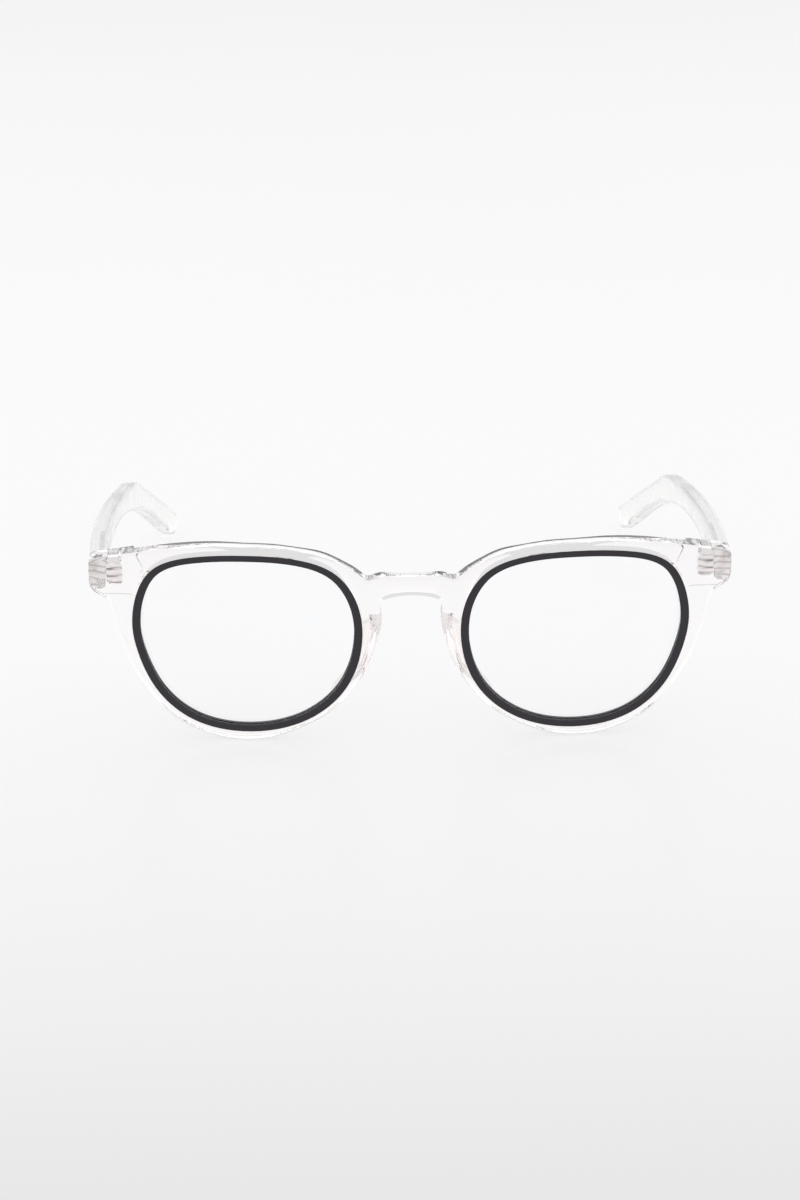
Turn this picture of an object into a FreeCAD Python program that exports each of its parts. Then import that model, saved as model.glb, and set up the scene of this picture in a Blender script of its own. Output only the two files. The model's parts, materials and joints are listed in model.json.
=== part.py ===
import FreeCAD, Part
import math
import os

V = FreeCAD.Vector

# Clear acetate spectacles with dark inner rims.  All sizes in millimetres.
# The glasses stand open on a flat surface: +X to the side, +Y from the front to the temple tips, +Z up.
# Shapes are built with the bridge's front at y = 0 and moved to their final origin at the end.

# ---- eyes and lenses ----
EYE_WIDTH = 49.35           # seat of the dark rim in the acetate
EYE_HEIGHT = 40.55
EYE_GAP = 21.45             # between the two eyes
RIM_FOOT = 2.125            # lowest point of the eye above the surface the glasses stand on
RING_SIDE = 1.8             # face width of the dark rim at the sides of the eye
RING_TOP = 1.42             # and at its top and bottom
RING_SETBACK = 0.1          # dark rim's face below the acetate's
RING_DEPTH = 2.9            # dark rim from front to back
RING_CROWN = 0.25           # height of the V all round the dark rim that locks it in the acetate
LENS_THICKNESS = 1.9
LENS_BEVEL = 0.5            # lens edge inside the groove
GROOVE_WIDTH = 0.9
# the eye outline of the right eye, as shares of its half width and half height,
# with the width of the clear rim outside it (None where the endpiece or bridge takes over)
EYE_OUTLINE = [
    (0.992, 0.000, 2.82), (0.980, 0.466, None), (0.823, 0.814, 5.02), (0.460, 0.971, 2.33),
    (0.000, 1.000, 1.73), (-0.456, 0.956, 1.73), (-0.782, 0.794, 2.52), (-0.968, 0.451, None),
    (-1.000, 0.000, 3.12), (-0.859, -0.490, 1.52), (-0.520, -0.853, 1.22), (0.000, -1.000, 2.12),
    (0.500, -0.873, 1.92), (0.815, -0.534, 1.82)]

# ---- front ----
FACE_RADIUS = 400.0         # the front bows about this vertical radius
FRONT_THICKNESS = 4.2
EDGE_ROUND = 0.8
BRIDGE_TOP = -5.075         # heights above the top of the eye
BRIDGE_HALF = 7.2
KEYHOLE_TOP = -9.375
KEYHOLE_HALF = 6.7
ENDPIECE_TOP = -1.875
ENDPIECE_FOOT = -8.075
LAND_DEPTH = 1.0            # thicker hinge land behind each endpiece
LAND_FOOT = -10.475         # its foot above the top of the eye
LAND_INSET_TOP = 0.375      # its inner side, in from the side of the eye
LAND_INSET_LOW = 3.475
LAND_RIM_GAP = 0.6          # land starts this far outside the eye

# bevel round the nose opening, right half: where it meets the front face, as side distance and height,
# first round the arch (above the top of the eye), then down the side (above the eye centre)
BEVEL_ARCH = [(0.0, -8.175), (2.7, -8.325), (5.3, -8.825), (6.8, -9.975), (7.1, -11.475), (6.75, -12.875),
              (6.6, -13.975)]
BEVEL_SIDE = [(7.6, 3.5), (8.75, 0.9), (10.1, -4.9), (11.3, -8.2), (12.7, -11.2), (14.2, -13.8)]
# how far its cutter reaches in front of and behind that line
BEVEL_LEAD = 1.1
BEVEL_REACH = 1.7
BEVEL_STEPS = 60            # sections of the cutter

# ---- nose pads ----
PAD_TOP = 6.1               # heights from the eye centre
PAD_BOTTOM = -12.6
PAD_DEPTH = 7.5
PAD_TOP_FALL = 0.75         # the top face falls this much per millimetre rearward
PAD_SPLAY = 0.28            # sideways flare per millimetre of depth

# ---- temples ----
TEMPLE_LENGTH = 143.5       # along the top edge
TEMPLE_SLOPE = 7.7          # degrees down towards the back
TEMPLE_RISE = 0.1           # its top edge at the hinge above the endpiece's
TEMPLE_THICKNESS = 3.8
TEMPLE_CLEAR = 0.3          # knuckles to the temple's inner face
BEND_START = 84.0
BEND_RADIUS = 32.0
TIP_RADIUS = 3.1
TEMPLE_ROUND = 1.1
BUTT_GAP = 0.15             # between the open temple and the front
# distance along the top edge and height of the temple there
TEMPLE_HEIGHTS = [(0.0, 7.7), (20.0, 6.7), (45.0, 5.9), (75.0, 5.8), (100.0, 6.1), (125.0, 6.2)]
# distance behind the butt face and outward bow of the centreline from its place at the hinge
TEMPLE_BOW = [(-4.0, -0.3), (20.0, 1.3), (40.0, 1.9), (58.0, 1.5), (75.0, 0.2), (92.0, -2.1),
              (112.0, -5.2), (137.0, -8.3)]

# ---- hinges ----
HINGE_OUT = 3.625           # side of the eye to the hinge axis
KNUCKLE_RADIUS = 1.6
KNUCKLE_COUNT = 5
KNUCKLE_PITCH = 1.0
KNUCKLE_GAP = 0.06
HINGE_MIDDLE = -5.375       # middle of the knuckles above the top of the eye
LEAF_GAP = 0.15             # knuckle to the other leaf
ANCHOR_SIDE = 0.1           # foot of the front leaf wider than the knuckles, each side
ANCHOR_DEPTH = 2.6
ANCHOR_CORNER = 1.0
ANCHOR_RIBS = 3             # ribs across its front, which grip the acetate
RIB_HEIGHT = 0.5
LEAF_THICKNESS = 1.1
LEAF_HEIGHT = 4.4
LEAF_LENGTH = 14.0
SHANK_LENGTH = 27.0
SHANK_HEIGHT = 1.6
BUTT_PLATE = 0.8
LUG_RADIUS = 1.1
LUG_CHEEK = 0.7             # lug centre in from the plate's outer side
SCREW_RADIUS = 0.6
SCREW_HEAD_RADIUS = 1.05
SCREW_HEAD = 0.5

# ---- fits ----
RING_FIT = 0.03
LENS_FIT = 0.05
POCKET_FIT = 0.04
SCREW_FIT = 0.03

EYE_X = (EYE_GAP + EYE_WIDTH) / 2
EYE_LIFT = EYE_HEIGHT / 2 + RIM_FOOT    # eye centre above the surface the glasses stand on
EYE_TOP = EYE_LIFT + EYE_HEIGHT / 2
EYE_SIDE = EYE_X + EYE_WIDTH / 2
HINGE_X = EYE_SIDE + HINGE_OUT
TEMPLE_X = HINGE_X + KNUCKLE_RADIUS + TEMPLE_CLEAR + TEMPLE_THICKNESS / 2
SIDE_X = TEMPLE_X + TEMPLE_THICKNESS / 2    # side of the front, flush with the temple
LAND_BACK = FRONT_THICKNESS + LAND_DEPTH
RING_MIDDLE = RING_SETBACK + RING_DEPTH / 2
ANCHOR_WIDTH = 2 * (KNUCKLE_RADIUS + ANCHOR_SIDE)
TALL = 80.0                 # longer than anything is high
BEYOND = 40.0               # in front of and behind everything the eyes are cut through


def surface_y(x, depth):
    """Y of the surface that lies a depth behind the bowed front."""
    radius = FACE_RADIUS - depth
    return FACE_RADIUS - math.sqrt(radius * radius - x * x)


HINGE_Y = surface_y(HINGE_X, LAND_BACK) + LEAF_GAP + KNUCKLE_RADIUS
HINGE_Z = EYE_TOP + HINGE_MIDDLE
TEMPLE_TOP = EYE_TOP + ENDPIECE_TOP + TEMPLE_RISE
BUTT_Y = surface_y(TEMPLE_X, LAND_BACK) + BUTT_GAP


# ---------------------------------------------------------------- general helpers

def spline(points):
    curve = Part.BSplineCurve()
    curve.interpolate(points)
    return curve.toShape()


def closed_spline(points):
    curve = Part.BSplineCurve()
    curve.interpolate(Points=points, PeriodicFlag=True)
    return curve


def closed_wire(points, pieces):
    """A closed smooth outline, cut into a few edges."""
    curve = closed_spline(points)
    knots = curve.getKnots()
    cuts = [knots[(len(knots) - 1) * i // pieces] for i in range(pieces + 1)]
    return Part.Wire([curve.toShape(a, b) for a, b in zip(cuts[:-1], cuts[1:])])


def cylinder_inside(depth):
    """Everything behind the surface that lies a depth behind the bowed front."""
    return Part.makeCylinder(FACE_RADIUS - depth, TALL, V(0, FACE_RADIUS, -TALL / 4))


def prism(wire):
    """An outline carried from in front of everything to behind it."""
    body = Part.Face(wire).extrude(V(0, 2 * BEYOND, 0))
    body.translate(V(0, -BEYOND, 0))
    return body


def slab(wire, front, back):
    """The part of an outline's prism between two depths behind the bowed front."""
    return prism(wire).common(cylinder_inside(front)).cut(cylinder_inside(back))


def mirrored(shape):
    return shape.mirror(V(0, 0, 0), V(1, 0, 0))


def solid_of(shape):
    """The largest solid of a shape, without seams."""
    solids = sorted(shape.Solids, key=lambda s: s.Volume)
    return solids[-1].removeSplitter()


def block(x0, x1, y0, y1, z0, z1):
    return Part.makeBox(x1 - x0, y1 - y0, z1 - z0, V(x0, y0, z0))


# ---------------------------------------------------------------- eye outline

def eye_curve():
    return closed_spline([V(EYE_X + a * EYE_WIDTH / 2, 0, EYE_LIFT + b * EYE_HEIGHT / 2)
                          for a, b, _ in EYE_OUTLINE])


def outward(curve, u):
    tangent = curve.tangent(u)[0]
    return V(tangent.z, 0, -tangent.x)


def eye_points(grow_side, grow_top):
    """Points round the right eye, grown outward by one amount at the sides, one at top and bottom."""
    curve = eye_curve()
    knots = curve.getKnots()
    sign = 1 if outward(curve, knots[0]).x > 0 else -1
    points = []
    for a, b in zip(knots[:-1], knots[1:]):
        for u in (a, (a + b) / 2):
            away = outward(curve, u) * sign
            points.append(curve.value(u) + away * (grow_side * away.x ** 2 + grow_top * away.z ** 2))
    return points


def eye_wire(grow):
    """The right eye's outline, grown outward."""
    return closed_wire(eye_points(grow, grow), 4)


def ring_inside(grow):
    """The dark rim's inner outline, grown outward."""
    return closed_wire(eye_points(grow - RING_SIDE, grow - RING_TOP), 4)


def bowed(points, depth):
    """Outline points laid on the surface that lies a depth behind the bowed front."""
    return [V(p.x, surface_y(p.x, depth), p.z) for p in points]


def flat(points, y):
    return [V(p.x, y, p.z) for p in points]


def ring_seat(fit):
    """A solid as wide as the eye, whose edge has the dark rim's V between the rim's two faces."""
    low = eye_points(-RING_CROWN - fit, -RING_CROWN - fit)
    high = eye_points(RING_CROWN - fit, RING_CROWN - fit)
    rows = [flat(low, -BEYOND), bowed(low, RING_MIDDLE - RING_DEPTH), bowed(high, RING_MIDDLE),
            bowed(low, RING_MIDDLE + RING_DEPTH), flat(low, BEYOND)]
    return Part.makeLoft([closed_wire(row, len(row)) for row in rows], True, True)


def rim_point(place):
    """A point on the outside of the clear rim, by its place in EYE_OUTLINE; halves lie between two rows."""
    curve = eye_curve()
    knots = curve.getKnots()
    sign = 1 if outward(curve, knots[0]).x > 0 else -1
    row = int(place)
    following = row + 1 if place > row else row
    u = (knots[row] + knots[following]) / 2
    width = (EYE_OUTLINE[row][2] + EYE_OUTLINE[following % len(EYE_OUTLINE)][2]) / 2
    return curve.value(u) + outward(curve, u) * (sign * width)


# ---------------------------------------------------------------- front

def front_wire():
    def at(x, above):
        return V(x, 0, EYE_TOP + above)

    bridge = [at(BRIDGE_HALF * 0.5, BRIDGE_TOP + 0.08), at(BRIDGE_HALF - 0.4, BRIDGE_TOP + 0.15),
              at(BRIDGE_HALF + 0.8, BRIDGE_TOP - 0.2), at(BRIDGE_HALF + 1.9, BRIDGE_TOP - 0.5),
              at(BRIDGE_HALF + 2.9, BRIDGE_TOP - 0.1), at(BRIDGE_HALF + 4.2, BRIDGE_TOP + 0.9)]
    brow = [rim_point(place) for place in (6, 5.5, 5, 4.5, 4, 3.5, 3, 2)]
    endpiece = [at(SIDE_X - 5.2, ENDPIECE_TOP + 0.95), at(SIDE_X - 1.3, ENDPIECE_TOP + 0.1),
                at(SIDE_X - 0.3, ENDPIECE_TOP - 0.45), at(SIDE_X, ENDPIECE_TOP - 1.5),
                at(SIDE_X, ENDPIECE_FOOT + 2.0), at(SIDE_X - 0.15, ENDPIECE_FOOT + 0.3),
                at(SIDE_X - 0.9, ENDPIECE_FOOT - 1.0), at(SIDE_X - 2.6, ENDPIECE_FOOT - 2.1),
                at(SIDE_X - 4.1, ENDPIECE_FOOT - 3.6), at(SIDE_X - 4.9, ENDPIECE_FOOT - 5.8),
                at(SIDE_X - 5.4, ENDPIECE_FOOT - 8.4)]
    rows = len(EYE_OUTLINE)
    lower = [rim_point(0)] + [rim_point(place / 2) for place in range(2 * rows - 1, 15, -1)]
    nose = [at(KEYHOLE_HALF - 0.25, KEYHOLE_TOP - 6.2), at(KEYHOLE_HALF - 0.3, KEYHOLE_TOP - 4.0),
            at(KEYHOLE_HALF - 0.1, KEYHOLE_TOP - 2.4), at(KEYHOLE_HALF - 0.75, KEYHOLE_TOP - 1.15),
            at(KEYHOLE_HALF - 2.1, KEYHOLE_TOP - 0.6), at(KEYHOLE_HALF - 4.2, KEYHOLE_TOP - 0.15)]
    right = bridge + brow + endpiece + lower + nose
    left = [V(-p.x, 0, p.z) for p in reversed(right)]
    loop = [at(0, BRIDGE_TOP)] + right + [at(0, KEYHOLE_TOP)] + left
    seam = right.index(lower[5]) + 1
    return closed_wire(loop[seam:] + loop[:seam], 8)


def rounded(shape, depth, radius):
    """Round the outline's edges on one of the bowed faces."""
    edges = []
    for edge in shape.Edges:
        middle = edge.valueAt((edge.FirstParameter + edge.LastParameter) / 2)
        reach = math.hypot(middle.x, middle.y - FACE_RADIUS)
        if abs(reach - (FACE_RADIUS - depth)) < 0.01:
            edges.append(edge)
    return shape.makeFillet(radius, edges)


def land_region():
    """The patch of the right endpiece that is thicker, seen from behind."""
    top = EYE_TOP + ENDPIECE_TOP + 2
    foot = EYE_TOP + LAND_FOOT
    corners = [(EYE_SIDE - LAND_INSET_TOP, top), (EYE_SIDE - LAND_INSET_LOW, foot + 4),
               (EYE_SIDE - LAND_INSET_LOW, foot), (SIDE_X + 5, foot), (SIDE_X + 5, top)]
    patch = prism(Part.makePolygon([V(x, 0, z) for x, z in corners + corners[:1]]))
    return patch.cut(prism(eye_wire(LAND_RIM_GAP))).common(cylinder_inside(FRONT_THICKNESS / 2))


def eye_opening():
    """The right aperture, with the groove for the dark rim's V."""
    return prism(eye_wire(0)).fuse(ring_seat(0))


def nose_bevel():
    """The cutter that bevels the front edge all round the nose opening."""
    right = [V(x, 0, EYE_TOP + above) for x, above in BEVEL_ARCH]
    right += [V(x, 0, EYE_LIFT + above) for x, above in BEVEL_SIDE]
    path = [V(-p.x, 0, p.z) for p in reversed(right[1:])] + right
    curve = Part.BSplineCurve()
    curve.interpolate(path)
    sections = []
    for i in range(BEVEL_STEPS + 1):
        u = curve.FirstParameter + (curve.LastParameter - curve.FirstParameter) * i / BEVEL_STEPS
        point = curve.value(u)
        tangent = curve.tangent(u)[0]
        nose = V(tangent.z, 0, -tangent.x)
        if nose.dot(V(0, 0, EYE_LIFT) - point) < 0:
            nose = nose * -1
        y = surface_y(point.x, 0)
        outer = point - nose * BEVEL_LEAD + V(0, y - BEVEL_LEAD, 0)
        inner = point + nose * BEVEL_REACH + V(0, y + BEVEL_REACH, 0)
        front = point + nose * BEVEL_REACH + V(0, y - BEVEL_LEAD, 0)
        sections.append(Part.makePolygon([outer, inner, front, outer]))
    return Part.makeLoft(sections, True, False)


def front_frame(pocket):
    outline = front_wire()
    body = slab(outline, 0, FRONT_THICKNESS)
    body = rounded(body, 0, EDGE_ROUND)
    body = rounded(body, FRONT_THICKNESS, EDGE_ROUND * 0.75)
    region = land_region()
    land = slab(outline, FRONT_THICKNESS / 2, LAND_BACK).common(region)
    for place, piece in ((region, land), (mirrored(region), mirrored(land))):
        body = body.cut(place).fuse(piece)
    opening = eye_opening()
    for piece in (nose_bevel(), opening, mirrored(opening), pocket, mirrored(pocket)):
        body = body.cut(piece)
    return solid_of(body)


def rim_ring():
    back = RING_SETBACK + RING_DEPTH
    ring = ring_seat(RING_FIT).common(cylinder_inside(RING_SETBACK)).cut(cylinder_inside(back))
    ring = ring.cut(slab(ring_inside(0), -1, back + 1))
    groove = slab(ring_inside(LENS_BEVEL + LENS_FIT), RING_MIDDLE - GROOVE_WIDTH / 2,
                  RING_MIDDLE + GROOVE_WIDTH / 2)
    return solid_of(ring.cut(groove))


def lens():
    half = LENS_THICKNESS / 2
    body = slab(ring_inside(-LENS_FIT), RING_MIDDLE - half, RING_MIDDLE + half)
    edge = GROOVE_WIDTH / 2 - LENS_FIT
    bevel = slab(ring_inside(LENS_BEVEL), RING_MIDDLE - edge, RING_MIDDLE + edge)
    return solid_of(body.fuse(bevel))


# ---------------------------------------------------------------- nose pads

def pad_section(z, inner, outer, depth):
    """A closed wedge at one height, from the front's back face rearward."""
    base = FRONT_THICKNESS - 1.5
    flare = PAD_SPLAY * depth
    top = FRONT_THICKNESS + depth
    points = [V(inner, base, z), V(inner + 0.1 + flare * 0.25, FRONT_THICKNESS + depth * 0.4, z),
              V(inner + 0.5 + flare * 0.9, top - depth * 0.1 - 0.1, z), V(inner + 1.2 + flare, top, z),
              V(max(inner + 1.9 + flare, outer - 0.2), top - depth * 0.12 - 0.1, z),
              V(outer, FRONT_THICKNESS + depth * 0.4, z), V(outer, base, z)]
    lower = Part.LineSegment(points[-1], points[0]).toShape()
    return Part.Wire([spline(points), lower])


def nose_pad():
    """The right pad, lofted up the nasal side of the rim, its top sloped, flush with the front's back."""
    z_top = EYE_LIFT + PAD_TOP
    z_low = EYE_LIFT + PAD_BOTTOM
    nose_x = {0.0: KEYHOLE_HALF - 0.2, 0.15: KEYHOLE_HALF - 0.05, 0.38: rim_point(8).x + 0.25,
              0.7: rim_point(8).x + 3.0, 0.88: rim_point(9).x + 1.0, 1.0: rim_point(9).x + 2.5}
    rim_x = eye_side_x(-1)
    sections = []
    for share, inner in sorted(nose_x.items(), reverse=True):
        z = z_top + (z_low - z_top) * share
        outer = max(rim_x(z) - 0.9, inner + 1.6)
        depth = PAD_DEPTH * (1 - share) ** 0.7 + 0.9
        sections.append(pad_section(z, inner, outer, depth))
    body = Part.makeLoft(sections, True, False).common(cylinder_inside(FRONT_THICKNESS))
    start = surface_y(KEYHOLE_HALF, FRONT_THICKNESS)
    reach = 30.0
    above = Part.makePolygon([V(0, start, z_top), V(0, start + reach, z_top - reach * PAD_TOP_FALL),
                              V(0, start + reach, TALL), V(0, start, TALL), V(0, start, z_top)])
    return solid_of(body.cut(Part.Face(above).extrude(V(EYE_X, 0, 0))))


def eye_side_x(side):
    """X of the right eye's nasal (-1) or temporal (1) edge at a height."""
    curve = eye_curve()
    steps = [curve.value(curve.FirstParameter + (curve.LastParameter - curve.FirstParameter) * i / 400.0)
             for i in range(400)]
    half = [p for p in steps if (p.x - EYE_X) * side > 0]
    return lambda z: min(half, key=lambda p: abs(p.z - z)).x


# ---------------------------------------------------------------- temples

def heading(angle):
    return V(0, math.cos(angle), -math.sin(angle))


def up_normal(angle):
    return V(0, math.sin(angle), math.cos(angle))


def top_edge(bend):
    """Start, bend start, bend middle, bend end and tip end of the temple's top edge."""
    slope = math.radians(TEMPLE_SLOPE)
    start = V(0, BUTT_Y, TEMPLE_TOP)
    bend_in = start + heading(slope) * BEND_START
    centre = bend_in - up_normal(slope) * BEND_RADIUS
    bend_mid = centre + up_normal(slope + bend / 2) * BEND_RADIUS
    bend_out = centre + up_normal(slope + bend) * BEND_RADIUS
    drop = TEMPLE_LENGTH - BEND_START - BEND_RADIUS * bend - TIP_RADIUS
    return start, bend_in, bend_mid, bend_out, bend_out + heading(slope + bend) * drop


def bend_angle():
    """The bend that lets the tip touch the surface that the rims stand on."""
    low, high = 0.0, math.radians(80)
    for _ in range(60):
        middle = (low + high) / 2
        tip = top_edge(middle)[-1]
        angle = math.radians(TEMPLE_SLOPE) + middle
        if (tip - up_normal(angle) * TIP_RADIUS).z > TIP_RADIUS:
            low = middle
        else:
            high = middle
    return low


def on_top_edge(distance, bend):
    """Point and heading angle at a distance along the temple's top edge."""
    slope = math.radians(TEMPLE_SLOPE)
    start, bend_in, _, bend_out, _ = top_edge(bend)
    if distance <= BEND_START:
        return start + heading(slope) * distance, slope
    turned = (distance - BEND_START) / BEND_RADIUS
    if turned <= bend:
        centre = bend_in - up_normal(slope) * BEND_RADIUS
        return centre + up_normal(slope + turned) * BEND_RADIUS, slope + turned
    rest = distance - BEND_START - BEND_RADIUS * bend
    return bend_out + heading(slope + bend) * rest, slope + bend


def side_prism():
    """The temple's side outline, extruded across."""
    bend = bend_angle()
    slope = math.radians(TEMPLE_SLOPE)
    start, bend_in, bend_mid, bend_out, tip = top_edge(bend)
    lead = heading(slope) * -3.0
    centre = tip - up_normal(slope + bend) * TIP_RADIUS
    end = centre + heading(slope + bend) * TIP_RADIUS
    under = centre - up_normal(slope + bend) * TIP_RADIUS
    lower = []
    for distance, height in TEMPLE_HEIGHTS:
        if distance < TEMPLE_LENGTH - 3 * TIP_RADIUS:
            point, angle = on_top_edge(distance, bend)
            lower.append(point - up_normal(angle) * height)
    lower = [lower[0] + lead] + lower
    lower.append(under)
    edges = [Part.LineSegment(start + lead, bend_in).toShape(),
             Part.Arc(bend_in, bend_mid, bend_out).toShape(),
             Part.LineSegment(bend_out, tip).toShape(), Part.Arc(tip, end, under).toShape(),
             spline(lower), Part.LineSegment(lower[0], start + lead).toShape()]
    face = Part.Face(Part.Wire(Part.__sortEdges__(edges)))
    face.translate(V(TEMPLE_X - 20, 0, 0))
    return face.extrude(V(35, 0, 0))


def plan_band(inner, outer):
    """A band along the temple's plan centreline, between two offsets outward from it."""
    centre = Part.BSplineCurve()
    centre.interpolate([V(TEMPLE_X + bow, BUTT_Y + along, 0) for along, bow in TEMPLE_BOW])
    stretch = (TEMPLE_LENGTH + 4) / (TEMPLE_BOW[-1][0] - TEMPLE_BOW[0][0])
    rows = {inner: [], outer: []}
    for knot in centre.getKnots():
        tangent = centre.tangent(knot)[0]
        point = centre.value(knot)
        point.y = BUTT_Y + TEMPLE_BOW[0][0] + (point.y - BUTT_Y - TEMPLE_BOW[0][0]) * stretch
        for offset in rows:
            rows[offset].append(point + V(tangent.y, -tangent.x, 0) * offset)
    a, b = rows[inner], rows[outer]
    edges = [spline(a), Part.LineSegment(a[-1], b[-1]).toShape(),
             spline(b), Part.LineSegment(b[0], a[0]).toShape()]
    face = Part.Face(Part.Wire(Part.__sortEdges__(edges)))
    face.translate(V(0, 0, -5))
    return face.extrude(V(0, 0, TALL))


def temple(pocket):
    half = TEMPLE_THICKNESS / 2
    body = solid_of(plan_band(-half, half).common(side_prism()))
    lengthwise = [edge for edge in body.Edges if edge.BoundBox.YLength > 1.0 and edge.Length > 4]
    body = body.makeFillet(TEMPLE_ROUND, lengthwise)
    body = body.common(cylinder_inside(LAND_BACK + BUTT_GAP))
    return solid_of(body.cut(pocket))


# ---------------------------------------------------------------- hinges

def knuckle_levels():
    """Bottom and top of each knuckle, from the lowest up."""
    first = HINGE_Z - KNUCKLE_COUNT * KNUCKLE_PITCH / 2
    half_gap = KNUCKLE_GAP / 2
    return [(first + i * KNUCKLE_PITCH + half_gap, first + (i + 1) * KNUCKLE_PITCH - half_gap)
            for i in range(KNUCKLE_COUNT)]


def knuckle(low, high, web):
    """One knuckle with the web that joins it to its leaf."""
    barrel = Part.makeCylinder(KNUCKLE_RADIUS, high - low, V(HINGE_X, HINGE_Y, low))
    return barrel.fuse(web)


def screw_hole():
    return Part.makeCylinder(SCREW_RADIUS + SCREW_FIT, TALL, V(HINGE_X, HINGE_Y, 0))


def head_seat(grow):
    top = knuckle_levels()[-1][1]
    depth = SCREW_HEAD + grow
    return Part.makeCone(SCREW_RADIUS + grow, SCREW_HEAD_RADIUS + grow, depth, V(HINGE_X, HINGE_Y, top - depth))


def anchor_block(grow):
    """The front leaf's foot, sunk into the hinge land."""
    half = ANCHOR_WIDTH / 2 + grow
    low = knuckle_levels()[0][0] - grow
    high = knuckle_levels()[-1][1] + grow
    box = block(HINGE_X - half, HINGE_X + half, 0, 40, low, high)
    corners = [edge for edge in box.Edges if edge.BoundBox.YLength > 30]
    box = box.makeFillet(ANCHOR_CORNER + grow, corners)
    return box.common(cylinder_inside(LAND_BACK - ANCHOR_DEPTH - grow)).cut(cylinder_inside(LAND_BACK))


def anchor():
    """The foot with ribs across its front face."""
    foot = anchor_block(0)
    low, high = foot.BoundBox.ZMin, foot.BoundBox.ZMax
    radius = (high - low) / ANCHOR_RIBS / 2
    core = foot.common(cylinder_inside(LAND_BACK - ANCHOR_DEPTH + RIB_HEIGHT))
    start = surface_y(HINGE_X, LAND_BACK - ANCHOR_DEPTH)
    for i in range(ANCHOR_RIBS):
        origin = V(HINGE_X - ANCHOR_WIDTH, start + radius, low + radius * (2 * i + 1))
        rib = Part.makeCylinder(radius, ANCHOR_WIDTH * 2, origin, V(1, 0, 0))
        core = core.fuse(rib.common(foot))
    return core


def front_leaf():
    leaf = anchor()
    root = surface_y(HINGE_X, LAND_BACK) - 1
    behind = cylinder_inside(LAND_BACK)
    for low, high in knuckle_levels()[0::2]:
        web = block(HINGE_X - KNUCKLE_RADIUS, HINGE_X + KNUCKLE_RADIUS, root, HINGE_Y, low, high)
        leaf = leaf.fuse(knuckle(low, high, web.common(behind)))
    return solid_of(leaf.cut(screw_hole()).cut(head_seat(SCREW_FIT)))


def sloped_block(start, length, low, high):
    """A block across the temple, running along its slope from a distance behind the butt face."""
    slope = math.radians(TEMPLE_SLOPE)
    origin = V(TEMPLE_X - 10, BUTT_Y, TEMPLE_TOP)
    box = Part.makeBox(25, length, high - low, V(0, start, low))
    box.rotate(V(0, 0, 0), V(1, 0, 0), -math.degrees(slope))
    box.translate(origin)
    return box


def butt_outline(grow):
    """The temple leaf's end plate with its lower lug, seen along Y."""
    half = TEMPLE_THICKNESS / 2
    inner = TEMPLE_X - half - 1.0
    outer = TEMPLE_X + half - 0.35 + grow
    middle = HINGE_Z + LEAF_HEIGHT / 2 + grow
    plate = block(inner, outer, 0, 40, HINGE_Z - LEAF_HEIGHT / 2 - grow, middle)
    lug_z = HINGE_Z - LEAF_HEIGHT / 2 - LUG_RADIUS
    lug_x = outer - grow - LUG_CHEEK
    lug = Part.makeCylinder(LUG_RADIUS + grow, 40, V(lug_x, 0, lug_z), V(0, 1, 0))
    lug = lug.cut(block(outer, outer + 5, -1, 41, 0, TALL))
    cheek = block(lug_x, outer, 0, 40, lug_z - LUG_RADIUS - grow, HINGE_Z)
    return plate.fuse(lug).fuse(cheek)


def leaf_body(grow):
    """The temple leaf's sunk parts: end plate, plate along the inner face and shank."""
    half = TEMPLE_THICKNESS / 2
    top = HINGE_Z + LEAF_HEIGHT / 2 - TEMPLE_TOP
    low = top - LEAF_HEIGHT
    face = plan_band(-half, -half + LEAF_THICKNESS + grow)
    core = plan_band(-half + LEAF_THICKNESS - 0.6 - grow, -half + LEAF_THICKNESS + 0.7 + grow)
    plate = face.common(sloped_block(-2, LEAF_LENGTH + grow, low - grow, top + grow))
    middle = (low + top) / 2
    shank = core.common(sloped_block(-1, SHANK_LENGTH + grow, middle - SHANK_HEIGHT / 2 - grow,
                                     middle + SHANK_HEIGHT / 2 + grow))
    end = butt_outline(grow).common(cylinder_inside(LAND_BACK + BUTT_GAP))
    end = end.cut(cylinder_inside(LAND_BACK + BUTT_GAP + BUTT_PLATE + grow))
    end = end.cut(block(0, TEMPLE_X - half, 0, 60, 0, TALL))
    return plate.fuse(shank).common(cylinder_inside(LAND_BACK + BUTT_GAP)).fuse(end)


def temple_leaf():
    leaf = leaf_body(0)
    face_x = TEMPLE_X - TEMPLE_THICKNESS / 2 + 0.4
    for low, high in knuckle_levels()[1::2]:
        web = block(HINGE_X, face_x, HINGE_Y - KNUCKLE_RADIUS + 0.3, HINGE_Y + KNUCKLE_RADIUS, low, high)
        leaf = leaf.fuse(knuckle(low, high, web))
    return solid_of(leaf.cut(screw_hole()))


def hinge_screw():
    levels = knuckle_levels()
    shaft = Part.makeCylinder(SCREW_RADIUS, levels[-1][1] - levels[0][0], V(HINGE_X, HINGE_Y, levels[0][0]))
    slot = block(HINGE_X - 2, HINGE_X + 2, HINGE_Y - 0.15, HINGE_Y + 0.15, levels[-1][1] - 0.3, TALL)
    return solid_of(shaft.fuse(head_seat(0)).cut(slot))


# ---------------------------------------------------------------- assembly

def build():
    right = {
        "rim_ring": rim_ring(),
        "lens": lens(),
        "nose_pad": nose_pad(),
        "temple": temple(leaf_body(POCKET_FIT)),
        "hinge_front_leaf": front_leaf(),
        "hinge_temple_leaf": temple_leaf(),
        "hinge_screw": hinge_screw(),
    }
    nodes = {"front_frame": front_frame(anchor_block(POCKET_FIT))}
    for name, shape in right.items():
        nodes[name + "_right"] = shape
        nodes[name + "_left"] = mirrored(shape)
    return nodes


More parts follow.
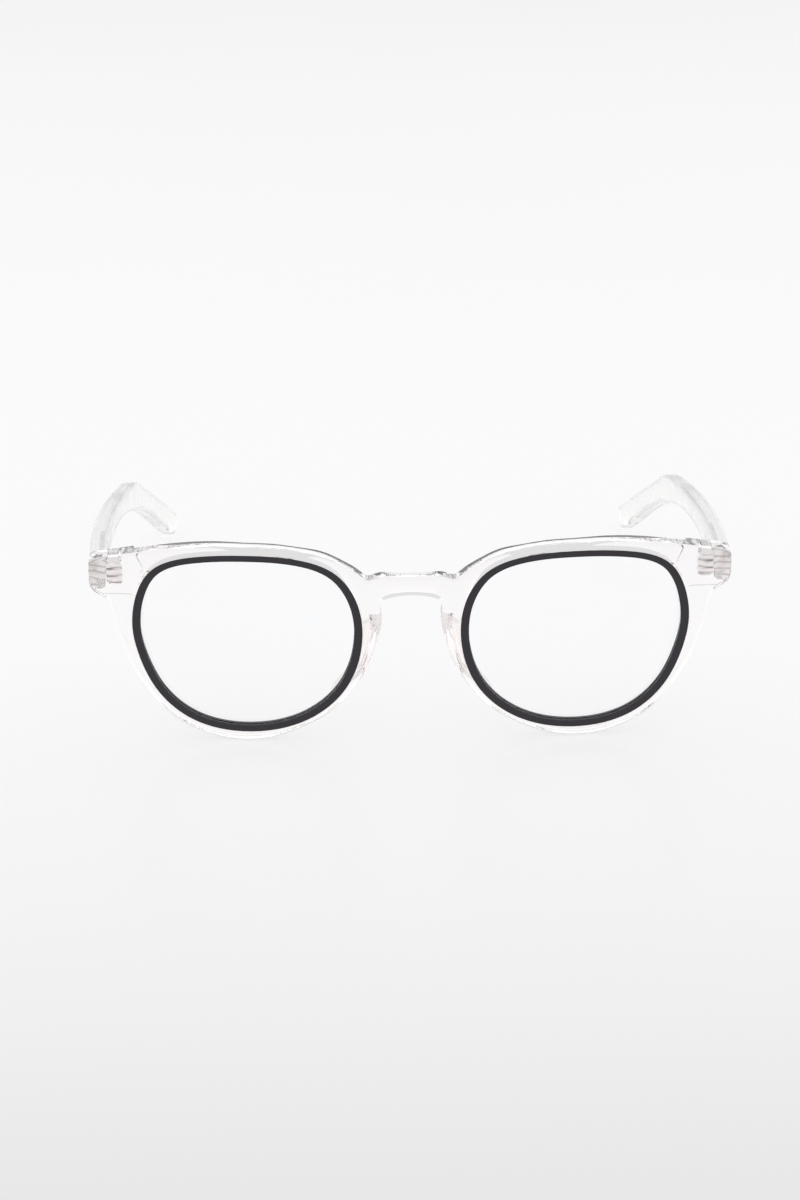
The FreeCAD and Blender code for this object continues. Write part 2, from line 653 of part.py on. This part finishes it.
def main():
    nodes = build()
    depth = max(shape.optimalBoundingBox(False).YMax for shape in nodes.values())
    front = min(shape.optimalBoundingBox(False).YMin for shape in nodes.values())
    shift = -(depth + front) / 2
    os.makedirs("parts", exist_ok=True)
    for name, shape in nodes.items():
        shape.translate(V(0, shift, 0))
        shape.exportStep("parts/%s.step" % name)
        box = shape.BoundBox
        ends = (box.XMin, box.XMax, box.YMin, box.YMax, box.ZMin, box.ZMax)
        print("%-26s valid %s  volume %8.1f  x %7.2f %7.2f  y %7.2f %7.2f  z %6.2f %6.2f"
              % ((name, shape.isValid(), shape.Volume) + ends))
    print("hinge axis x %.4f y %.4f, shift %.4f, bend %.2f degrees"
          % (HINGE_X, HINGE_Y + shift, shift, math.degrees(bend_angle())))


main()
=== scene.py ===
import json
import math

import bpy
from mathutils import Matrix, Vector

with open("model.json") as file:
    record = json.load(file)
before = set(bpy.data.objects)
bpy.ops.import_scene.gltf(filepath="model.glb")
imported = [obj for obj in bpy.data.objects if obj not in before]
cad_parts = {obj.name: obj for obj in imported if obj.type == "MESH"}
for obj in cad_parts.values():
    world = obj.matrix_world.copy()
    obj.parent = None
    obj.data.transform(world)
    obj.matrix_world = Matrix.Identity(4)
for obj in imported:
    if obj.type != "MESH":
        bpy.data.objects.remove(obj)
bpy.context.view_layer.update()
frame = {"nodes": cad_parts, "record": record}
nodes = frame["nodes"]


# ---- named numbers: metres, degrees and linear colours -----------------------------------------

ACETATE_INDEX = 1.48
TEMPLE_INDEX = 1.36         # lower than the front's, for fainter reflections inside the temples
RIM_INDEX = 1.36
LENS_INDEX = 1.5
FLOOR_INDEX = 1.3

HAZE_DETAIL = 3.0
HAZE_FROM, HAZE_TO = 0.35, 0.7      # noise values where the roughness is lowest and highest
RELIEF = 0.0001                     # height of the marks in a bumped surface
LENS_FACE = 0.5                     # a lens face's normal has more of Y than this; the edge's has less

PAINTED_REFLECTION_SCALE = 230.0                  # painted highlights and painted dark reflections, in bands across the hinge metal
PAINTED_REFLECTION_WAVINESS = 5.0
PAINTED_REFLECTION_DETAIL = 2.0
PAINTED_HIGHLIGHT_FROM = 0.45

CORNER_DEGREES = 30.0               # edges sharper than this stay corners in the shading
WELD = 1e-6                         # vertices this close are one for the shading

# painted light falloff: the table top's brightness, by distance from the middle of the glasses towards the
# back
FLOOR_PAINTED_FALLOFF = [(-0.26, 0.843), (-0.2, 0.907), (-0.15, 0.937), (-0.085, 0.957), (-0.02, 0.98),
               (0.17, 0.955), (0.32, 0.93), (0.58, 0.89), (1.0, 0.82)]
FLOOR_WHITE = 0.12                  # share of its brightness that comes from the light falling on it
FLOOR_PAINTED_GLOW = 0.78                   # and from a painted glow, a painted fill light that fades its shadows
FLOOR_BLUE = 1.008                  # blue against red and green in its colour

FLOOR_HALF_WIDTH = 3.0
FLOOR_NEAR, FLOOR_FAR = -2.2, 1.6
SWEEP_RADIUS = 0.9
SWEEP_STEPS = 24
BACKDROP_TOP = 2.6

ROOM_STRENGTH = 1.17
VIEWER_SIDE = (0.78, 0.77, 0.79, 1)
WHITE = (1, 1, 1, 1)

FOCAL_LENGTH, SENSOR_WIDTH = 90.0, 36.0     # millimetres
CLIP_NEAR, CLIP_FAR = 0.05, 20.0
CAMERA_PLACE = (-0.0140, -0.67776, 0.2515)
CAMERA_PAN, CAMERA_PITCH, CAMERA_ROLL = -1.095, 19.903, -0.488


# ---- shader building ---------------------------------------------------------------------------

def new_material(name):
    """A material with an empty tree, its Principled shader and its output."""
    material = bpy.data.materials.new(name)
    material.use_nodes = True
    tree = material.node_tree
    tree.nodes.clear()
    shader = tree.nodes.new("ShaderNodeBsdfPrincipled")
    output = tree.nodes.new("ShaderNodeOutputMaterial")
    tree.links.new(shader.outputs["BSDF"], output.inputs["Surface"])
    return material, tree, shader


def node_in(tree, kind, **values):
    """A node with some of its inputs or settings filled in."""
    node = tree.nodes.new(kind)
    for key, value in values.items():
        socket = key.replace("_", " ").title()
        if socket in node.inputs:
            node.inputs[socket].default_value = value
        else:
            setattr(node, key, value)
    return node


def surface_marks_group():
    """Fine polish haze and handling marks: a roughness and a height that change over the surface."""
    group = bpy.data.node_groups.new("polish_marks", "ShaderNodeTree")
    face = group.interface
    for name in ("Scale", "Roughness Low", "Roughness High"):
        face.new_socket(name=name, in_out="INPUT", socket_type="NodeSocketFloat")
    face.new_socket(name="Roughness", in_out="OUTPUT", socket_type="NodeSocketFloat")
    face.new_socket(name="Height", in_out="OUTPUT", socket_type="NodeSocketFloat")
    start = group.nodes.new("NodeGroupInput")
    end = group.nodes.new("NodeGroupOutput")
    place = group.nodes.new("ShaderNodeTexCoord")
    haze = node_in(group, "ShaderNodeTexNoise", detail=HAZE_DETAIL)
    group.links.new(place.outputs["Object"], haze.inputs["Vector"])
    group.links.new(start.outputs["Scale"], haze.inputs["Scale"])
    spread = node_in(group, "ShaderNodeMapRange", from_min=HAZE_FROM, from_max=HAZE_TO)
    group.links.new(haze.outputs["Fac"], spread.inputs["Value"])
    group.links.new(start.outputs["Roughness Low"], spread.inputs["To Min"])
    group.links.new(start.outputs["Roughness High"], spread.inputs["To Max"])
    group.links.new(spread.outputs["Result"], end.inputs["Roughness"])
    group.links.new(haze.outputs["Fac"], end.inputs["Height"])
    return group


POLISH = surface_marks_group()


def polished(tree, shader, scale, low, high, bump=0):
    """Gives a shader the polish marks, as roughness between two values and as an optional small bump."""
    marks = tree.nodes.new("ShaderNodeGroup")
    marks.node_tree = POLISH
    marks.inputs["Scale"].default_value = scale
    marks.inputs["Roughness Low"].default_value = low
    marks.inputs["Roughness High"].default_value = high
    tree.links.new(marks.outputs["Roughness"], shader.inputs["Roughness"])
    if bump:
        relief = node_in(tree, "ShaderNodeBump", strength=bump, distance=RELIEF)
        tree.links.new(marks.outputs["Height"], relief.inputs["Height"])
        tree.links.new(relief.outputs["Normal"], shader.inputs["Normal"])


def crystal_acetate(name, color, index, low, high):
    """Clear acetate of a slight colour and a refractive index, with haze between two roughnesses."""
    material, tree, shader = new_material(name)
    shader.inputs["Base Color"].default_value = color
    shader.inputs["IOR"].default_value = index
    shader.inputs["Transmission Weight"].default_value = 1.0
    polished(tree, shader, scale=260.0, low=low, high=high)
    return material


def dark_rim():
    """Charcoal acetate with a satin polish."""
    material, tree, shader = new_material("dark_rim")
    shader.inputs["Base Color"].default_value = (0.026, 0.023, 0.028, 1)
    shader.inputs["IOR"].default_value = RIM_INDEX
    polished(tree, shader, scale=700.0, low=0.4, high=0.5, bump=0.05)
    return material


def clear_lens():
    """Clear lens with its edge masked out, so the wall of the dark rim shows behind it."""
    material, tree, shader = new_material("lens_clear")
    shader.inputs["Base Color"].default_value = (0.996, 0.998, 1.0, 1)
    shader.inputs["IOR"].default_value = LENS_INDEX
    shader.inputs["Transmission Weight"].default_value = 1.0
    polished(tree, shader, scale=120.0, low=0.0, high=0.01)
    facing = tree.nodes.new("ShaderNodeTexCoord")
    split = tree.nodes.new("ShaderNodeSeparateXYZ")
    tree.links.new(facing.outputs["Normal"], split.inputs["Vector"])
    steep = node_in(tree, "ShaderNodeMath", operation="ABSOLUTE")
    tree.links.new(split.outputs["Y"], steep.inputs[0])
    is_face = node_in(tree, "ShaderNodeMath", operation="GREATER_THAN")
    is_face.inputs[1].default_value = LENS_FACE
    tree.links.new(steep.outputs["Value"], is_face.inputs[0])
    tree.links.new(is_face.outputs["Value"], shader.inputs["Alpha"])
    return material


def hinge_metal():
    """Pale hinge metal with painted highlights and painted dark reflections in uneven bands across it."""
    material, tree, shader = new_material("hinge_metal")
    shader.inputs["Metallic"].default_value = 1.0
    place = tree.nodes.new("ShaderNodeTexCoord")
    bands = node_in(tree, "ShaderNodeTexWave", bands_direction="Z", scale=PAINTED_REFLECTION_SCALE,
                    distortion=PAINTED_REFLECTION_WAVINESS, detail=PAINTED_REFLECTION_DETAIL)
    tree.links.new(place.outputs["Object"], bands.inputs["Vector"])
    # painted reflections: the bands become darker and lighter metal colour
    tone = tree.nodes.new("ShaderNodeValToRGB")
    tone.color_ramp.elements[0].color = (0.64, 0.62, 0.61, 1)
    tone.color_ramp.elements[1].color = (0.97, 0.955, 0.945, 1)
    tone.color_ramp.elements[1].position = PAINTED_HIGHLIGHT_FROM
    tree.links.new(bands.outputs["Fac"], tone.inputs["Fac"])
    tree.links.new(tone.outputs["Color"], shader.inputs["Base Color"])
    polished(tree, shader, scale=600.0, low=0.3, high=0.42)
    return material


def screw_metal():
    """Bright steel of the hinge screws."""
    material, tree, shader = new_material("screw_metal")
    shader.inputs["Base Color"].default_value = (0.7, 0.7, 0.71, 1)
    shader.inputs["Metallic"].default_value = 1.0
    polished(tree, shader, scale=1500.0, low=0.12, high=0.22)
    return material


def smooth_shading():
    """Geometry nodes that shade a mesh smooth, apart from its corners."""
    group = bpy.data.node_groups.new("smooth_shading", "GeometryNodeTree")
    for way in ("INPUT", "OUTPUT"):
        group.interface.new_socket(name="Geometry", in_out=way, socket_type="NodeSocketGeometry")
    start = group.nodes.new("NodeGroupInput")
    end = group.nodes.new("NodeGroupOutput")
    weld = node_in(group, "GeometryNodeMergeByDistance", distance=WELD)
    faces = group.nodes.new("GeometryNodeSetShadeSmooth")
    edges = node_in(group, "GeometryNodeSetShadeSmooth", domain="EDGE")
    angle = group.nodes.new("GeometryNodeInputMeshEdgeAngle")
    gentle = node_in(group, "FunctionNodeCompare", operation="LESS_THAN")
    gentle.inputs["B"].default_value = math.radians(CORNER_DEGREES)
    group.links.new(start.outputs["Geometry"], weld.inputs["Geometry"])
    group.links.new(weld.outputs["Geometry"], faces.inputs["Geometry"])
    group.links.new(faces.outputs["Geometry"], edges.inputs["Geometry"])
    group.links.new(angle.outputs["Unsigned Angle"], gentle.inputs["A"])
    group.links.new(gentle.outputs["Result"], edges.inputs["Shade Smooth"])
    group.links.new(edges.outputs["Geometry"], end.inputs["Geometry"])
    return group


# the finishes of the material slots, and of the pieces that don't share their slot's finish
FINISHES = {
    "crystal_acetate": crystal_acetate("crystal_acetate", (1.0, 0.985, 0.978, 1), ACETATE_INDEX, 0.03, 0.07),
    "dark_rim": dark_rim(),
    "lens_clear": clear_lens(),
    "hinge_metal": hinge_metal(),
    "screw_metal": screw_metal(),
}
TEMPLE_FINISH = crystal_acetate("temple_acetate", (0.998, 0.998, 0.98, 1), TEMPLE_INDEX, 0.1, 0.18)
PAD_FINISH = crystal_acetate("pad_acetate", (0.94, 0.905, 0.895, 1), ACETATE_INDEX, 0.0, 0.06)
OWN_FINISHES = {
    "temple_left": TEMPLE_FINISH,
    "temple_right": TEMPLE_FINISH,
    "nose_pad_left": PAD_FINISH,
    "nose_pad_right": PAD_FINISH,
}
SMOOTH = smooth_shading()

for part in frame["record"]["subparts"]:
    piece = nodes[part["node"]]
    piece.data.materials.clear()
    piece.data.materials.append(OWN_FINISHES.get(part["node"], FINISHES[part["material_slot"]]))
    piece.modifiers.new("smooth_shading", "NODES").node_group = SMOOTH


# ---- studio ------------------------------------------------------------------------------------

def floor_painted_light():
    """A pale board with painted light: a painted glow fades its shadows, and its brightness falls off
    towards the front and the back.
    """
    material, tree, shader = new_material("floor_painted_light")
    place = tree.nodes.new("ShaderNodeTexCoord")
    split = tree.nodes.new("ShaderNodeSeparateXYZ")
    tree.links.new(place.outputs["Object"], split.inputs["Vector"])
    near, far = FLOOR_PAINTED_FALLOFF[0][0], FLOOR_PAINTED_FALLOFF[-1][0]
    shift = node_in(tree, "ShaderNodeMapRange", from_min=near, from_max=far)
    tree.links.new(split.outputs["Y"], shift.inputs["Value"])
    # painted light: base colour and glow both follow the painted falloff, and the glow is a painted fill
    # light
    for share, socket in ((FLOOR_WHITE, "Base Color"), (FLOOR_PAINTED_GLOW, "Emission Color")):
        ramp = tree.nodes.new("ShaderNodeValToRGB")
        stops = ramp.color_ramp.elements
        while len(stops) < len(FLOOR_PAINTED_FALLOFF):
            stops.new(0.5)
        for stop, (distance, tone) in zip(stops, FLOOR_PAINTED_FALLOFF):
            stop.position = (distance - near) / (far - near)
            level = share * tone
            stop.color = (level, level, level * FLOOR_BLUE, 1)
        tree.links.new(shift.outputs["Result"], ramp.inputs["Fac"])
        tree.links.new(ramp.outputs["Color"], shader.inputs[socket])
    shader.inputs["Emission Strength"].default_value = 1.0
    shader.inputs["IOR"].default_value = FLOOR_INDEX
    polished(tree, shader, scale=3.0, low=0.3, high=0.32)
    return material


def studio_floor():
    """A pale satin table top that sweeps up behind the glasses."""
    profile = [(FLOOR_NEAR, 0.0), (FLOOR_FAR, 0.0)]
    for i in range(1, SWEEP_STEPS + 1):
        turn = math.pi / 2 * i / SWEEP_STEPS
        rise = SWEEP_RADIUS * (1 - math.cos(turn))
        profile.append((FLOOR_FAR + SWEEP_RADIUS * math.sin(turn), rise))
    profile.append((FLOOR_FAR + SWEEP_RADIUS, BACKDROP_TOP))
    sides = (-FLOOR_HALF_WIDTH, FLOOR_HALF_WIDTH)
    vertices = [(x, y, z) for y, z in profile for x in sides]
    faces = [(2 * i, 2 * i + 1, 2 * i + 3, 2 * i + 2) for i in range(len(profile) - 1)]
    mesh = bpy.data.meshes.new("studio_floor")
    mesh.from_pydata(vertices, [], faces)
    for face in mesh.polygons:
        face.use_smooth = True
    floor = bpy.data.objects.new("studio_floor", mesh)
    bpy.context.collection.objects.link(floor)
    mesh.materials.append(floor_painted_light())


def soft_box(name, place, aim, side, watts):
    """A square soft light at one place, aimed at another."""
    light = bpy.data.lights.new(name, "AREA")
    light.shape = "RECTANGLE"
    light.size = side
    light.size_y = side
    light.energy = watts
    lamp = bpy.data.objects.new(name, light)
    lamp.location = place
    lamp.rotation_euler = (Vector(aim) - Vector(place)).to_track_quat("-Z", "Y").to_euler()
    bpy.context.collection.objects.link(lamp)


def studio_world():
    """A bright room, a little darker towards the viewer's side."""
    world = bpy.data.worlds.new("studio")
    world.use_nodes = True
    tree = world.node_tree
    tree.nodes.clear()
    output = tree.nodes.new("ShaderNodeOutputWorld")
    background = tree.nodes.new("ShaderNodeBackground")
    tree.links.new(background.outputs["Background"], output.inputs["Surface"])
    place = tree.nodes.new("ShaderNodeTexCoord")
    split = tree.nodes.new("ShaderNodeSeparateXYZ")
    tree.links.new(place.outputs["Generated"], split.inputs["Vector"])
    ramp = tree.nodes.new("ShaderNodeValToRGB")
    shift = node_in(tree, "ShaderNodeMapRange", from_min=-1.0, from_max=1.0)
    tree.links.new(split.outputs["Y"], shift.inputs["Value"])
    tree.links.new(shift.outputs["Result"], ramp.inputs["Fac"])
    ramp.color_ramp.elements[0].color = VIEWER_SIDE
    ramp.color_ramp.elements[1].position = 0.5
    ramp.color_ramp.elements[1].color = WHITE
    tree.links.new(ramp.outputs["Color"], background.inputs["Color"])
    background.inputs["Strength"].default_value = ROOM_STRENGTH
    bpy.context.scene.world = world


studio_floor()
studio_world()
soft_box("overhead", place=(0.0, 0.1, 1.3), aim=(0, 0, 0), side=1.6, watts=2)


# ---- camera ------------------------------------------------------------------------------------

def studio_camera():
    """A long lens in front of the glasses, a little above them."""
    camera = bpy.data.cameras.new("camera")
    camera.lens = FOCAL_LENGTH
    camera.sensor_width = SENSOR_WIDTH
    camera.clip_start = CLIP_NEAR
    camera.clip_end = CLIP_FAR
    eye = bpy.data.objects.new("camera", camera)
    eye.matrix_world = (Matrix.Translation(CAMERA_PLACE)
                        @ Matrix.Rotation(math.radians(CAMERA_PAN), 4, "Z")
                        @ Matrix.Rotation(math.pi / 2 - math.radians(CAMERA_PITCH), 4, "X")
                        @ Matrix.Rotation(math.radians(CAMERA_ROLL), 4, "Z"))
    bpy.context.collection.objects.link(eye)
    bpy.context.scene.camera = eye


studio_camera()
scene = bpy.context.scene
# many bounces, because light passes through several walls of clear acetate
scene.cycles.max_bounces = 32
scene.cycles.transmission_bounces = 32
scene.cycles.glossy_bounces = 16
scene.view_settings.view_transform = "Standard"
